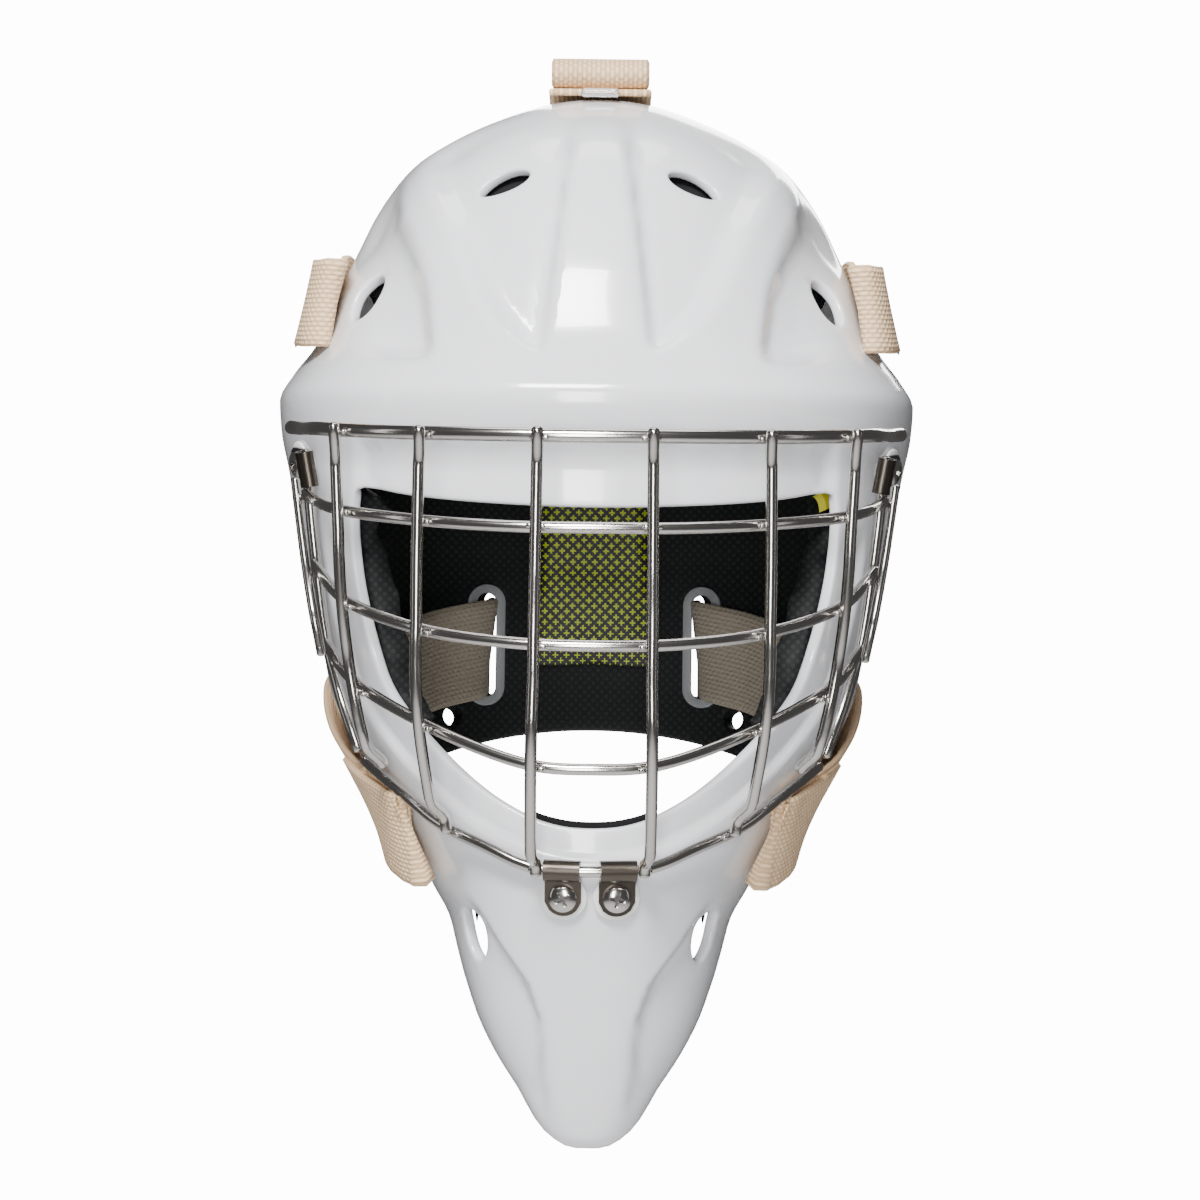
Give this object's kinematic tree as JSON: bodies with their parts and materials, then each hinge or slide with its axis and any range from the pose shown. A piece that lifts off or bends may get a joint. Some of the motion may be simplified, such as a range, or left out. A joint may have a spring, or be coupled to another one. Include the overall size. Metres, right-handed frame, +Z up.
{
  "type": "goalie mask",
  "caption": "Goalie mask: a white moulded shell with a welded steel wire cage, black foam pads and a rear backplate on cream elastic straps.",
  "frame": {"origin": "middle of the wearer's head at eye level, where the head holds the mask", "axes": "+Z up, the mask faces -Y, the wearer's left is +X"},
  "size_m": [0.2322, 0.305, 0.3907],
  "materials": {
    "shell": "glossy white moulded composite",
    "steel": "bright polished stainless wire",
    "dark_steel": "dark brushed clip",
    "washer": "soft white pad",
    "foam": "matt black closed-cell foam",
    "lime_foam": "lime foam",
    "plate": "matt black moulded plastic",
    "trim": "grey slot trim",
    "elastic": "cream knitted elastic",
    "clear_plastic": "clear plastic keeper"
  },
  "bodies": {
    "mask_body": {"cage_bar_lower": "steel", "cage_bar_middle": "steel", "cage_bar_upper": "steel", "cage_rim_left": "steel", "cage_rim_lower": "steel", "cage_rim_right": "steel", "cage_side_wire_left": "steel", "cage_side_wire_right": "steel", "cage_top_bar": "steel", "cage_upright_left_1": "steel", "cage_upright_left_2": "steel", "cage_upright_left_3": "steel", "cage_upright_right_1": "steel", "cage_upright_right_2": "steel", "cage_upright_right_3": "steel", "cheek_pad_left": "foam", "cheek_pad_right": "foam", "chin_pad": "foam", "clip_chin_left": "dark_steel", "clip_chin_right": "dark_steel", "clip_pad_chin_left": "washer", "clip_pad_chin_right": "washer", "clip_pad_temple_left": "washer", "clip_pad_temple_right": "washer", "clip_temple_left": "dark_steel", "clip_temple_right": "dark_steel", "crown_pad": "foam", "forehead_pad": "foam", "impact_foam_left": "lime_foam", "jaw_pad_left": "foam", "jaw_pad_right": "foam", "lower_strap_left": "elastic", "lower_strap_right": "elastic", "lower_strap_tail_left": "elastic", "lower_strap_tail_right": "elastic", "nut_chin_left": "steel", "nut_chin_right": "steel", "nut_temple_left": "steel", "nut_temple_right": "steel", "screw_chin_left": "steel", "screw_chin_right": "steel", "screw_temple_left": "steel", "screw_temple_right": "steel", "shell": "shell", "sweatband": "foam", "temple_pad_left": "foam", "temple_pad_right": "foam", "top_keeper": "clear_plastic", "top_strap": "elastic", "top_strap_tail": "elastic", "upper_keeper_left": "clear_plastic", "upper_keeper_right": "clear_plastic", "upper_strap_left": "elastic", "upper_strap_right": "elastic"},
    "backplate_body": {"backplate": "plate", "backplate_foam": "foam", "backplate_centre_pad": "lime_foam", "slot_trim_left": "trim", "slot_trim_right": "trim"}
  },
  "joints": [
    {"name": "backplate_swing", "type": "hinge", "parent": "mask_body", "child": "backplate_body", "pos_m": [0, 0.06, 0.157], "axis": [1, 0, 0], "range_deg": [0, 20], "stiffness_Nm_per_rad": 8, "springref_deg": -6.88, "deforming": ["top_strap", "upper_strap_left", "upper_strap_right", "lower_strap_left", "lower_strap_right"]}
  ]
}
